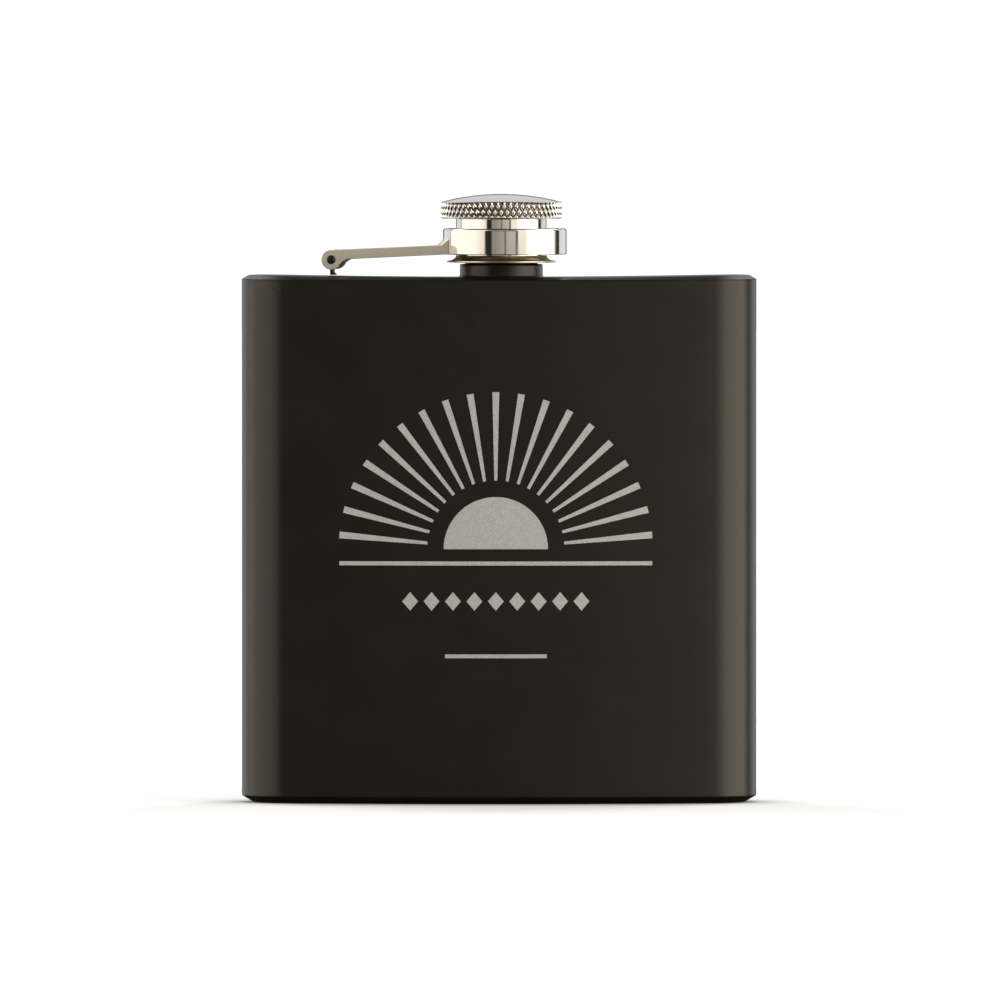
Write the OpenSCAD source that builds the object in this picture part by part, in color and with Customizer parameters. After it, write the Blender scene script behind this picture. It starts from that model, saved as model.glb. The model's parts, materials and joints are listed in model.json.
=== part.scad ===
// Curved steel hip flask with a screw cap that is held captive by a hinged lever.
// Millimetres, +Z up. The convex front faces -Y, and the lever hinge stands on the -X side.
// The origin is on the table, under the middle of the whole flask.

/* [Body] */
// Width over the round ends
body_w = 94; // [84:1:110]
// Thickness from front wall to back wall
body_t = 20; // [18:0.5:22]
// How far the ends sweep back behind the middle
body_sweep = 4; // [3:0.5:6]
// Height from the table to the top plate
body_h = 96.3; // [80:0.1:130]
// Thickness of the steel sheet
sheet = 0.6; // [0.4:0.1:0.8]
// Width and height of the bevel round the top plate
top_bevel = 1; // [0.7:0.1:1.5]
// Width of the bevel round the base plate
base_bevel_w = 2.1; // [1.2:0.1:3]
// Height of the bevel round the base plate
base_bevel_h = 1.3; // [0.9:0.1:2]

/* [Neck] */
// Offset of the neck from the middle of the top plate
neck_x = 0.4; // [0:0.1:1]
// Radius of the plain collar at the foot of the neck
collar_r = 7.55; // [7.5:0.05:8]
// Height of the collar above the top plate
collar_h = 2; // [1.5:0.1:2.2]
// Radius over the thread
thread_r = 7; // [6.8:0.05:7]
// Radius of the pouring lip
lip_r = 6.4; // [6:0.1:6.6]
// Radius of the bore that the drink pours through
bore_r = 5.5; // [4.5:0.1:5.7]
// Height of the lip above the top plate
neck_h = 9.3; // [8.8:0.1:9.5]

/* [Hinge] */
// Distance of the hinge pin from the middle of the body
hinge_x = 30.15; // [29.5:0.05:31.5]
// Height of the hinge pin above the top plate
hinge_h = 2.8; // [2.7:0.1:3.2]
// Radius of the hinge pin
pin_r = 0.73; // [0.6:0.01:0.9]
// Running clearance of the pin in the lever's ears
pin_clearance = 0.05; // [0.03:0.01:0.08]
// Outer radius of the barrel rolled at the top of the post
barrel_r = 1.4; // [1.3:0.05:1.5]
// Thickness of the post's blade
blade_t = 0.52; // [0.4:0.02:0.9]
// Width of the post's blade, across the lever
blade_w = 4; // [3:0.1:9]

/* [Lever] */
// Width of the lever over its two sides
lever_w = 11.2; // [10:0.1:12]
// Thickness of the lever's sheet
lever_sheet = 0.65; // [0.5:0.05:0.8]
// Radius of the ears round the pin
ear_r = 1.8; // [1.6:0.05:2]
// Slope of the lever's top, rising towards the cap, in degrees
lever_slope = 2.5; // [1.5:0.1:3]
// Height of the turned-up lip where the lever meets the ring
lever_lip = 1.15; // [0.8:0.05:1.4]

/* [Retainer ring] */
// Outer radius of the ring
ring_r = 11.27; // [11.1:0.01:11.6]
// Radius of the hole that the cap's sleeve passes through
ring_hole_r = 9.1; // [9.05:0.01:9.2]
// Height of the ring's lower edge above the top plate
ring_z = 3.75; // [3.6:0.05:4]
// Height of the ring
ring_h = 4.75; // [4.6:0.05:4.8]
// Thickness of the ring's sheet
ring_sheet = 0.5; // [0.4:0.05:0.5]
// How far the ring sits beyond the axis of the cap
ring_offset = 0.65; // [0.5:0.05:0.7]

/* [Cap] */
// Radius over the knurled rim
cap_r = 11.05; // [10.5:0.05:11.5]
// Height of the knurled rim's lower edge above the top plate
cap_z = 10.3; // [10.2:0.1:10.6]
// Height of the knurled rim
cap_rim_h = 3.1; // [2.6:0.1:4]
// Radius of the sphere that the domed top belongs to
dome_r = 42; // [30:1:80]
// Thickness of the cap's shell
cap_wall = 0.7; // [0.5:0.1:0.9]
// Outer radius of the threaded sleeve
sleeve_r = 8.26; // [8.2:0.01:8.3]
// Inner radius of the sleeve over its thread
sleeve_bore_r = 7.4; // [7.35:0.01:7.45]
// Radius of the flared flange at the sleeve's foot
flange_r = 9.93; // [9.85:0.01:9.95]
// Height of the flange above the top plate
flange_z = 2.3; // [2.2:0.05:2.4]
// Height of the flare from rim to sleeve
flare_h = 1.3; // [1.1:0.1:1.4]

/* [Hidden] */
$fn = 96;

steel_grey = "#c9c4ba";
dark_steel = "#a9a296";
paint_black = "#23201d";
silicone_white = "#e9e6de";

// Plan of the body: a strip of constant thickness bent round a far centre, with round ends.
half_t = body_t / 2;
end_x = body_w / 2 - half_t;
curve_r = (end_x * end_x + body_sweep * body_sweep) / (2 * body_sweep);
end_angle = asin(end_x / curve_r);
// Setback of the middle line at a distance x from the middle.
function strip_back(x) = curve_r - sqrt(curve_r * curve_r - x * x);

// Lever: a straight line in plan from the hinge on the curved middle line to the cap's axis.
lever_yaw = atan(strip_back(hinge_x) / (hinge_x + neck_x));
ring_u = norm([hinge_x + neck_x, strip_back(hinge_x)]) + ring_offset;
// The middle line's place fore and aft puts the whole flask, ring included, astride the origin.
strip_y = (ring_r + ring_offset * sin(lever_yaw) - half_t - body_sweep) / 2;
hinge_y = strip_y + strip_back(hinge_x);
web_top = 1.75;
web_start = 2.1;
arm_drop = 1.65;
barrel_gap = 0.15;
pin_proud = 0.25;

rim_bevel = 0.35;
seal_t = 1;
seal_gap = 0.1;
skirt_step = 0.31;
flange_rim_t = 0.3;
arc_steps = 6;

// Sweeps a profile round the body: its x is the distance out from the middle line, its y is the height.
module round_the_body() {
    translate([0, strip_y + curve_r, 0]) {
        rotate([0, 0, -90 - end_angle])
            rotate_extrude(angle = 2 * end_angle, $fn = 720)
                translate([curve_r, 0]) children();
        rotate([0, 0, -90 - end_angle])
            rotate_extrude(angle = 2 * end_angle, $fn = 720)
                translate([curve_r, 0]) mirror([1, 0]) children();
        for (side = [-1, 1])
            rotate([0, 0, side * end_angle]) translate([0, -curve_r, 0])
                rotate([0, 0, side > 0 ? -90 : 90]) rotate_extrude(angle = 180) children();
    }
}

// Places children in the lever's frame: x runs from the pin to the cap, y across, z up from the pin.
module in_lever_frame() {
    translate([-hinge_x, hinge_y, body_h + hinge_h]) rotate([0, 0, -lever_yaw]) children();
}

// Places children on the axis of the neck and cap, with z = 0 on the top plate.
module on_neck_axis() {
    translate([neck_x, strip_y, body_h]) children();
}

// Stands a profile that is drawn in x and z up across the lever, over a width centred on y.
module across(width, y = 0) {
    translate([0, y + width / 2, 0]) rotate([90, 0, 0]) linear_extrude(height = width) children();
}

module body_wall() {
    color(paint_black)
        round_the_body()
            translate([half_t - sheet, base_bevel_h])
                square([sheet, body_h - top_bevel - base_bevel_h]);
}

module top_plate() {
    color(paint_black) difference() {
        round_the_body()
            polygon([[0, body_h], [half_t - top_bevel, body_h], [half_t, body_h - top_bevel],
                     [half_t - sheet, body_h - top_bevel],
                     [half_t - top_bevel - sheet / 2, body_h - sheet], [0, body_h - sheet]]);
        on_neck_axis() translate([0, 0, -2 * sheet]) cylinder(r = lip_r, h = 4 * sheet);
    }
}

module base_plate() {
    color(paint_black)
        round_the_body()
            polygon([[0, 0], [half_t - base_bevel_w, 0], [half_t, base_bevel_h],
                     [half_t - sheet, base_bevel_h], [half_t - base_bevel_w - sheet / 4, sheet],
                     [0, sheet]]);
}

module neck() {
    collar_bevel = 0.3;
    thread_z = collar_h + 0.5;
    thread_h = 4.6;
    root_r = thread_r - 0.35;
    color(paint_black)
        on_neck_axis()
            rotate_extrude()
                polygon([[bore_r, -sheet], [lip_r, -sheet], [lip_r, 0], [collar_r, 0],
                         [collar_r, collar_h - collar_bevel], [collar_r - collar_bevel, collar_h],
                         [root_r, collar_h], [root_r, thread_z - rim_bevel], [thread_r, thread_z],
                         [thread_r, thread_z + thread_h], [lip_r, thread_z + thread_h + rim_bevel],
                         [lip_r, neck_h - rim_bevel], [lip_r - rim_bevel, neck_h], [bore_r, neck_h]]);
}

// A blade that stands on the top plate, rolled into a barrel round the pin, with a filleted foot.
module hinge_post() {
    blade_u = -0.53;
    foot = 0.45;
    width = lever_w - 2 * lever_sheet - 2 * barrel_gap;
    color(paint_black)
        in_lever_frame() difference() {
            union() {
                across(width) circle(r = barrel_r);
                across(blade_w) translate([blade_u, -hinge_h]) square([blade_t, hinge_h]);
                across(blade_w) polygon([[blade_u, -hinge_h], [blade_u + blade_t + foot, -hinge_h],
                                       [blade_u + blade_t, -hinge_h + foot],
                                       [blade_u, -hinge_h + foot]]);
            }
            across(width + 2) circle(r = pin_r);
        }
}

module hinge_pin() {
    length = lever_w + 2 * pin_proud;
    chamfer = 0.2;
    color(paint_black)
        in_lever_frame()
            rotate([90, 0, 0])
                rotate_extrude()
                    polygon([[0, -length / 2], [pin_r - chamfer, -length / 2],
                             [pin_r, -length / 2 + chamfer], [pin_r, length / 2 - chamfer],
                             [pin_r - chamfer, length / 2], [0, length / 2]]);
}

// A folded channel: two sides with ears, a web over the top, and a lip turned up round the ring.
module lever_arm() {
    rise = tan(lever_slope);
    clear = 2 * ear_r;
    color(dark_steel)
        in_lever_frame() difference() {
            union() {
                across(lever_w) lever_outline(rise);
                lever_lip_band(rise);
            }
            across(lever_w - 2 * lever_sheet)
                polygon([[-clear, -clear], [-clear, clear], [web_start, clear],
                         [web_start, web_top - lever_sheet + web_start * rise],
                         [ring_u, web_top - lever_sheet + ring_u * rise], [ring_u, -clear]]);
            translate([ring_u, 0, -hinge_h]) cylinder(r = ring_r, h = 4 * hinge_h);
            across(lever_w + 2) circle(r = pin_r + pin_clearance);
        }
}

// The lever from the side: an ear round the pin and a shallow flange that runs on to the ring.
module lever_outline(rise) {
    circle(r = ear_r);
    polygon([[-0.6, web_top - 0.2], [0, web_top], [ring_u, web_top + ring_u * rise],
             [ring_u, web_top - arm_drop + ring_u * rise], [ear_r + 1, web_top - arm_drop],
             [ear_r * 0.7, -ear_r * 0.5]]);
}

// The lip rises at 45 degrees round the ring, and stops at the lever's sides.
module lever_lip_band(rise) {
    foot_z = web_top + (ring_u - ring_r) * rise;
    bite = 0.2;
    intersection() {
        translate([ring_u, 0, foot_z])
            rotate_extrude()
                polygon([[ring_r - bite, lever_lip + bite], [ring_r + lever_lip + bite, -bite],
                         [ring_r + lever_lip + bite, -2 * bite], [ring_r - bite, -2 * bite]]);
        translate([0, -lever_w / 2, 0]) cube([ring_u, lever_w, 3 * hinge_h]);
    }
}

// A drawn cup, open below, whose hole lets the sleeve turn and rise but not the flange.
module retainer_ring() {
    edge = 0.35;
    color(steel_grey)
        in_lever_frame() translate([ring_u, 0, ring_z - hinge_h])
            rotate_extrude()
                polygon(concat(
                    [[ring_hole_r, ring_h]],
                    [for (i = [0 : arc_steps]) [ring_r - edge + edge * sin(90 * i / arc_steps),
                                                ring_h - edge + edge * cos(90 * i / arc_steps)]],
                    [[ring_r, 0], [ring_r - ring_sheet, 0],
                     [ring_r - ring_sheet, ring_h - ring_sheet], [ring_hole_r, ring_h - ring_sheet]]));
}

// The knurled rim and its shallow dome, drawn as one cup that is open below.
module cap_shell() {
    rim_top = cap_z + cap_rim_h;
    edge = 0.35;
    dome_edge = cap_r - edge;
    function dome(r, drop) = rim_top - drop + sqrt(dome_r * dome_r - r * r)
                             - sqrt(dome_r * dome_r - dome_edge * dome_edge);
    color(steel_grey)
        on_neck_axis()
            rotate_extrude()
                polygon(concat(
                    [[cap_r - cap_wall, cap_z], [cap_r - edge, cap_z], [cap_r, cap_z + edge],
                     [cap_r, rim_top - edge]],
                    [for (i = [arc_steps : -1 : 0])
                        let (r = dome_edge * i / arc_steps) [r, dome(r, 0)]],
                    [for (i = [0 : arc_steps])
                        let (r = (cap_r - cap_wall) * i / arc_steps) [r, dome(r, cap_wall)]]));
}

// A drawn cup with a brim: the skirt holds the thread, and the brim closes the cap's shell.
module cap_sleeve() {
    skirt_foot = flange_z + flare_h;
    color(steel_grey)
        on_neck_axis()
            rotate_extrude()
                polygon([[0, cap_z], [sleeve_bore_r, cap_z], [sleeve_bore_r, flange_z],
                         [sleeve_r - skirt_step, flange_z], [sleeve_r - skirt_step, skirt_foot],
                         [sleeve_r, skirt_foot], [sleeve_r, cap_z], [cap_r - cap_wall, cap_z],
                         [cap_r - cap_wall, cap_z + sheet], [0, cap_z + sheet]]);
}

// A flared washer swaged round the foot of the sleeve, which keeps the cap in the ring.
module cap_flange() {
    inner_r = sleeve_r - skirt_step;
    throw = flange_r - sleeve_r;
    rise = flare_h - flange_rim_t;
    color(steel_grey)
        on_neck_axis() translate([0, 0, flange_z])
            rotate_extrude()
                polygon(concat(
                    [[inner_r, 0], [flange_r, 0]],
                    [for (i = [0 : arc_steps]) [flange_r - throw * sin(90 * i / arc_steps),
                                                flare_h - rise * cos(90 * i / arc_steps)]],
                    [[inner_r, flare_h]]));
}

// The soft disc inside the cap that closes the pouring lip.
module cap_seal() {
    color(silicone_white)
        on_neck_axis() translate([0, 0, cap_z - seal_t])
            cylinder(r = sleeve_bore_r - seal_gap, h = seal_t);
}

body_wall();
top_plate();
base_plate();
neck();
hinge_post();
hinge_pin();
lever_arm();
retainer_ring();
cap_shell();
cap_sleeve();
cap_flange();
cap_seal();
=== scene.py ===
"""Looks of a slim curved hip flask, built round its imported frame.

Lengths are in metres in the frame's own axes: +Z is up, the convex front faces -Y and the lever's
hinge stands on the -X side. Places come from the frame's boxes and joints.
"""

from __future__ import annotations

import json
import logging
import math
from dataclasses import dataclass, field
from enum import Enum
from typing import Any, Callable, Iterable, Mapping, Sequence

import bmesh
import bpy
from mathutils import Matrix, Vector

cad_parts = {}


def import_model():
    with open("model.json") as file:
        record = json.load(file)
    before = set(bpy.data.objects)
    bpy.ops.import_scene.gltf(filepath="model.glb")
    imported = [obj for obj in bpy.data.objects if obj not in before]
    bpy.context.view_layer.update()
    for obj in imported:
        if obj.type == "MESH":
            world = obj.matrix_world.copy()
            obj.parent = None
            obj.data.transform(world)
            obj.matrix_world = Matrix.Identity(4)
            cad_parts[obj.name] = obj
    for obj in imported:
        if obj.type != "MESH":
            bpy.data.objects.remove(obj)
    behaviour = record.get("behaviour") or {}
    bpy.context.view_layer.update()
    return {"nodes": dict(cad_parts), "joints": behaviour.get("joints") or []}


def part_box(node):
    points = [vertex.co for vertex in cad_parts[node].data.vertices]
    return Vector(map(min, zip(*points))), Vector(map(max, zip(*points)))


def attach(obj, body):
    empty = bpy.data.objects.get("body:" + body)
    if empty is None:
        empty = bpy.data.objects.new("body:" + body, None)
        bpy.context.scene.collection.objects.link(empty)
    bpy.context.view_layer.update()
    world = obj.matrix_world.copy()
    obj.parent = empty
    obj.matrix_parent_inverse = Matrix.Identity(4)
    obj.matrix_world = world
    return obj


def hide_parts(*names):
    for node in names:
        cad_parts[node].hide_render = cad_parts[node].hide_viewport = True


MM = 0.001
TURN = 2 * math.pi
LOG = logging.getLogger("flask")

# The screw thread's rise in one turn, and its bead's radius.
THREAD_PITCH = 1.25 * MM
THREAD_BEAD = 0.4 * MM
# Where a diamond of the knurl is cut flat, and how fast the knurl dies out on a sloping face.
KNURL_FLAT = 0.62
KNURL_STEEPNESS = 1.4
# Points closer than this are one point, and a corner with a wider half angle isn't rounded.
MERGE = 0.0005 * MM
NEARLY_STRAIGHT = math.radians(89.5)
# The flange's tint and shade, which the ring above it warms: a painted reflection, golden in the
# flange's colour.
FLANGE_PAINTED_REFLECTION = ((0.9, 0.8, 0.58, 1.0), (0.84, 0.71, 0.46, 1.0))

Point2 = tuple[float, float]
Point3 = tuple[float, float, float]
Colour = tuple[float, float, float, float]


class Body(Enum):
    """The frame's bodies that pieces ride on."""

    FLASK = "flask"
    LEVER = "lever"
    SEAL = "seal"
    CAP = "cap"


class Slot(Enum):
    """The record's material slots."""

    PAINT = "body_paint"
    HINGE = "hinge_black"
    LEVER = "lever_steel"
    POLISHED = "polished_steel"
    SEAL = "seal_silicone"


# ---- Node trees written as Python expressions ----


def operator(operation: str, reflected: bool = False) -> Callable[[Wire, Any], Wire]:
    """Make the method behind one of Python's operators.

    Args:
        operation: The Math node's operation.
        reflected: Whether the wire stands on the right, as in 1 - mask.

    Returns:
        The method, which adds the Math node and returns its result.
    """

    def apply(wire: Wire, other: Any) -> Wire:
        """Return the result for a wire and another operand."""
        return wire.maths(operation, *((other, wire) if reflected else (wire, other)))

    return apply


class Wire:
    """A socket's value on its way between nodes, which takes part in Python arithmetic."""

    def __init__(self, weave: Weave, socket: Any) -> None:
        """Keep the tree that the value belongs to and the socket that it comes from."""
        self.weave = weave
        self.socket = socket

    def maths(self, operation: str, *values: Any) -> Wire:
        """Return the result of a new Math node on these values."""
        return self.weave.node("ShaderNodeMath", values, operation=operation)["Value"]

    __add__ = operator("ADD")
    __radd__ = operator("ADD", reflected=True)
    __sub__ = operator("SUBTRACT")
    __rsub__ = operator("SUBTRACT", reflected=True)
    __mul__ = operator("MULTIPLY")
    __rmul__ = operator("MULTIPLY", reflected=True)
    __truediv__ = operator("DIVIDE")
    __pow__ = operator("POWER")
    least = operator("MINIMUM")
    most = operator("MAXIMUM")
    bearing = operator("ARCTAN2")

    def __neg__(self) -> Wire:
        """Return the value with its sign turned."""
        return self * -1.0

    def __abs__(self) -> Wire:
        """Return the absolute value."""
        return self.maths("ABSOLUTE", self)

    def triangle(self) -> Wire:
        """Return a wave that is 0 at each whole number and 1 half way between."""
        return 1.0 - abs(self.maths("FRACT", self) * 2.0 - 1.0)

    def ramp(self, start: float, end: float) -> Wire:
        """Return a smooth step.

        Args:
            start: Where the step is still 0.
            end: Where the step has reached 1. It may be below start.

        Returns:
            0 before start, 1 past end, and a smooth rise between them.
        """
        named = {"Value": self, "From Min": start, "From Max": end, "To Min": 0.0, "To Max": 1.0}
        step = self.weave.node("ShaderNodeMapRange", named, interpolation_type="SMOOTHSTEP")
        return step["Result"]

    def band(self, low: float, high: float, soft: float) -> Wire:
        """Return 1 between two limits and 0 outside, with edges of a stated softness."""
        return self.ramp(low - soft, low + soft) * self.ramp(high + soft, high - soft)


def diamonds(round_share: Wire, climb: Wire) -> Wire:
    """Cross two families of grooves into a diamond knurl.

    Args:
        round_share: Teeth passed on the way round.
        climb: Diamonds passed on the way up.

    Returns:
        0 in the grooves, and more towards the middle of each diamond.
    """
    return (round_share + climb).triangle().least((round_share - climb).triangle())


class Placed:
    """A node in its tree. Indexing it by an output's name or number gives the value."""

    def __init__(self, weave: Weave, made: Any) -> None:
        """Keep the tree and its node."""
        self.weave = weave
        self.made = made

    def __getitem__(self, output: str | int) -> Wire:
        """Return the value of one output."""
        return Wire(self.weave, self.made.outputs[output])


class Weave:
    """A node tree that is built by expressions."""

    def __init__(self, tree: Any) -> None:
        """Start from an existing tree and clear it."""
        self.tree = tree
        tree.nodes.clear()

    def node(
        self,
        kind: str,
        inputs: Mapping[str | int, Any] | Sequence[Any] = (),
        **settings: Any,
    ) -> Placed:
        """Add one node.

        Args:
            kind: The node's type.
            inputs: Values or wires, by name or in order.
            settings: Its properties, such as a Math node's operation, which are set first.

        Returns:
            The node, from which outputs are taken by name.
        """
        made = self.tree.nodes.new(kind)
        for key, value in settings.items():
            setattr(made, key, value)
        pairs = inputs.items() if isinstance(inputs, Mapping) else enumerate(inputs)
        for key, value in pairs:
            self._feed(made.inputs[key], value)
        return Placed(self, made)

    def _feed(self, socket: Any, value: Any) -> None:
        """Give an input a wire, several wires or a constant.

        Args:
            socket: The input.
            value: What goes into it.
        """
        if isinstance(value, Wire):
            self.tree.links.new(value.socket, socket)
        elif isinstance(value, (list, tuple)) and value and isinstance(value[0], Wire):
            for wire in value:
                self.tree.links.new(wire.socket, socket)
        else:
            socket.default_value = value

    def split(self, vector: Wire) -> tuple[Wire, Wire, Wire]:
        """Return a vector's three parts."""
        parts = self.node("ShaderNodeSeparateXYZ", [vector])
        return parts["X"], parts["Y"], parts["Z"]

    def join(self, x: Any, y: Any, z: Any) -> Wire:
        """Return the vector that has these three parts."""
        return self.node("ShaderNodeCombineXYZ", [x, y, z])["Vector"]

    def mix(self, factor: Any, first: Any, second: Any) -> Wire:
        """Blend two colours.

        Args:
            factor: 0 for the first, 1 for the second.
            first: A colour or wire.
            second: A colour or wire.

        Returns:
            The blended colour.
        """
        inputs = {0: factor, 6: first, 7: second}
        return self.node("ShaderNodeMix", inputs, data_type="RGBA")[2]


# ---- Finishes ----


class Shading(Weave):
    """A material's node tree, with the textures that the finishes share."""

    def __init__(self, name: str) -> None:
        """Create the material and find its Object coordinates."""
        self.material = bpy.data.materials.new(name)
        self.material.use_nodes = True
        super().__init__(self.material.node_tree)
        self.place = self.node("ShaderNodeTexCoord")["Object"]

    def noise(self, grain: float, detail: float = 3.0) -> Wire:
        """Sample a noise whose lumps have a stated size.

        Args:
            grain: The size of one lump, in metres.
            detail: How many finer layers there are.

        Returns:
            A value about 0.5.
        """
        return self.streaks((1 / grain,) * 3, 0.0, detail, 1.0)

    def streaks(self, scale: Point3, yaw: float, detail: float, lumps: float = 5.0) -> Wire:
        """Sample a noise that is stretched along axes turned about Z.

        Args:
            scale: How much finer the noise is along each axis.
            yaw: The axes' turn, in radians.
            detail: How many finer layers there are.
            lumps: The noise's own scale.

        Returns:
            A value about 0.5.
        """
        turned = {"Vector": self.place, "Rotation": (0, 0, yaw), "Scale": scale}
        where = self.node("ShaderNodeMapping", turned)["Vector"]
        inputs = {"Vector": where, "Scale": lumps, "Detail": detail}
        return self.node("ShaderNodeTexNoise", inputs)[0]

    def speckle(self, spacing: float, size: float) -> Wire:
        """Scatter small round specks.

        Args:
            spacing: The mean distance between specks, in metres.
            size: A speck's radius, as a share of the spacing.

        Returns:
            1 inside a speck and 0 elsewhere.
        """
        inputs = {"Vector": self.place, "Scale": 1 / spacing, "Randomness": 1.0}
        return self.node("ShaderNodeTexVoronoi", inputs)["Distance"].ramp(size, size * 0.5)

    def bump(self, height: Wire, depth: float) -> Wire:
        """Turn a height of 0 to 1 into a normal.

        Args:
            height: The height.
            depth: What a height of 1 stands for, in metres.

        Returns:
            The bent normal.
        """
        inputs = {"Height": height, "Distance": depth, "Strength": 1.0}
        return self.node("ShaderNodeBump", inputs)["Normal"]

    def finish(self, **inputs: Any) -> bpy.types.Material:
        """Close the tree with a Principled shader.

        Args:
            inputs: The shader's inputs, with underscores for spaces.

        Returns:
            The finished material.
        """
        named = {key.replace("_", " "): value for key, value in inputs.items()}
        shader = self.node("ShaderNodeBsdfPrincipled", named)
        self.node("ShaderNodeOutputMaterial", {"Surface": shader["BSDF"]})
        return self.material


@dataclass(frozen=True)
class PowderCoat:
    """Satin black powder coat: a fine orange-peel surface with a few specks of dust."""

    name: str = "satin_black_powder_coat"
    dark: Colour = (0.0052, 0.0041, 0.0033, 1.0)
    light: Colour = (0.0092, 0.0074, 0.006, 1.0)
    dust: Colour = (0.19, 0.18, 0.16, 1.0)
    sheen: Colour = (1.0, 0.9, 0.77, 1.0)
    roughness: float = 0.31
    peel: float = 0.42 * MM
    peel_depth: float = 0.006 * MM
    cloud: float = 11 * MM
    grain: float = 0.16 * MM
    speck_spacing: float = 4.6 * MM
    speck_size: float = 0.022

    def build(self) -> bpy.types.Material:
        """Return the material."""
        tree = Shading(self.name)
        fine = tree.noise(self.peel, 2.0)
        cloud = tree.noise(self.cloud)
        grain = tree.noise(self.grain, 1.0)
        strewn = tree.noise(9 * MM, 1.0).ramp(0.52, 0.62)
        speck = tree.speckle(self.speck_spacing, self.speck_size) * strewn
        tone = tree.mix((grain * 0.5 + cloud * 0.5).ramp(0.3, 0.7), self.dark, self.light)
        return tree.finish(
            Base_Color=tree.mix(speck * 0.8, tone, self.dust),
            Roughness=self.roughness + (cloud - 0.5) * 0.07 + (fine - 0.5) * 0.08,
            Normal=tree.bump(fine * 0.7 + grain * 0.3 + speck, self.peel_depth),
            Specular_Tint=self.sheen,
            IOR=1.45,
        )


@dataclass(frozen=True)
class TurnedSteel:
    """Bright stainless steel with faint rings from the lathe and the polishing wheel."""

    name: str
    centre: Point2
    tint: Colour = (0.76, 0.725, 0.66, 1.0)
    shade: Colour = (0.64, 0.6, 0.53, 1.0)
    roughness: float = 0.07
    ring_pitch: float = 0.13 * MM
    ring_depth: float = 0.0001 * MM

    def build(self) -> bpy.types.Material:
        """Return the material."""
        tree = Shading(self.name)
        x, y, z = tree.split(tree.place)
        radius = ((x - self.centre[0]) ** 2.0 + (y - self.centre[1]) ** 2.0) ** 0.5
        wobble = tree.noise(2.5 * MM, 2.0) * 0.6
        rings = ((radius + z) / self.ring_pitch + wobble).triangle()
        smear = tree.noise(5 * MM, 4.0)
        fleck = tree.speckle(1.9 * MM, 0.035)
        worn = (smear + fleck * 0.15).ramp(0.4, 0.75)
        return tree.finish(
            Base_Color=tree.mix(worn * 0.6, self.tint, self.shade),
            Metallic=1.0,
            Roughness=self.roughness + worn * 0.05 + rings * 0.02,
            Normal=tree.bump(rings + smear * 0.5, self.ring_depth),
        )


@dataclass(frozen=True)
class KnurledSteel:
    """Bright stainless steel whose knurl grooves are darkened in colour, as painted shade."""

    centre: Point2
    teeth: int
    diamond: float
    low: float
    high: float
    name: str = "knurled_steel"
    tint: Colour = (0.78, 0.745, 0.69, 1.0)
    groove_painted_shade: Colour = (0.2, 0.155, 0.11, 1.0)

    def build(self) -> bpy.types.Material:
        """Return the material."""
        tree = Shading(self.name)
        x, y, z = tree.split(tree.place)
        angle = (y - self.centre[1]).bearing(x - self.centre[0])
        peak = diamonds(angle * (self.teeth / TURN), (z - self.low) / self.diamond)
        side = z.ramp(self.low - 0.05 * MM, self.low + 0.15 * MM)
        side = side * z.ramp(self.high, self.high - 0.2 * MM)
        # Painted shade: the colour darkens in the knurl's grooves, only on its side.
        dark = peak.ramp(0.24, 0.06) * side
        grain = tree.noise(0.25 * MM, 2.0)
        return tree.finish(
            Base_Color=tree.mix(dark * 0.9, self.tint, self.groove_painted_shade),
            Metallic=1.0,
            Roughness=0.12 + grain * 0.05 + dark * 0.2,
            Normal=tree.bump(grain, 0.0008 * MM),
        )


@dataclass(frozen=True)
class BrushedSteel:
    """Satin stainless steel, brushed along the lever."""

    name: str
    yaw: float
    tint: Colour = (0.75, 0.675, 0.55, 1.0)
    shade: Colour = (0.6, 0.53, 0.42, 1.0)
    roughness: float = 0.42
    brushing: Point3 = (120.0, 9000.0, 9000.0)

    def build(self) -> bpy.types.Material:
        """Return the material."""
        tree = Shading(self.name)
        lines = tree.streaks(self.brushing, self.yaw, 2.0)
        smear = tree.noise(4 * MM, 3.0)
        tone = tree.mix((lines * 0.75 + smear * 0.25).ramp(0.35, 0.65), self.tint, self.shade)
        return tree.finish(
            Base_Color=tone,
            Metallic=0.6,
            Roughness=self.roughness + (lines - 0.5) * 0.12 + (smear - 0.5) * 0.1,
            Normal=tree.bump(lines, 0.0012 * MM),
        )


@dataclass(frozen=True)
class EngravedSteel:
    """Steel laid bare by a laser: pale, matte and hatched by the beam's fine passes."""

    name: str = "laser_engraved_steel"
    light: Colour = (0.66, 0.645, 0.61, 1.0)
    dark: Colour = (0.36, 0.35, 0.325, 1.0)
    hatch: float = 0.3 * MM

    def build(self) -> bpy.types.Material:
        """Return the material."""
        tree = Shading(self.name)
        x, _, z = tree.split(tree.place)
        along = ((x + z * 0.35) / self.hatch).triangle()
        across = ((z - x * 0.35) / self.hatch).triangle()
        uneven = tree.noise(0.35 * MM, 2.0)
        weave = (along * across * 0.7 + uneven * 0.5).ramp(0.2, 0.75)
        return tree.finish(
            Base_Color=tree.mix(weave, self.dark, self.light),
            Metallic=0.35,
            Roughness=0.62 + (uneven - 0.5) * 0.2,
            Normal=tree.bump(weave, 0.01 * MM),
        )


@dataclass(frozen=True)
class RawSteel:
    """The dull inside of the sheet, blotched by the rolling mill."""

    name: str = "raw_steel"

    def build(self) -> bpy.types.Material:
        """Return the material."""
        tree = Shading(self.name)
        blotch = tree.noise(3 * MM, 4.0)
        tone = tree.mix(blotch.ramp(0.35, 0.7), (0.42, 0.4, 0.37, 1.0), (0.3, 0.27, 0.23, 1.0))
        return tree.finish(Base_Color=tone, Metallic=1.0, Roughness=0.38 + blotch * 0.2)


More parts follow.
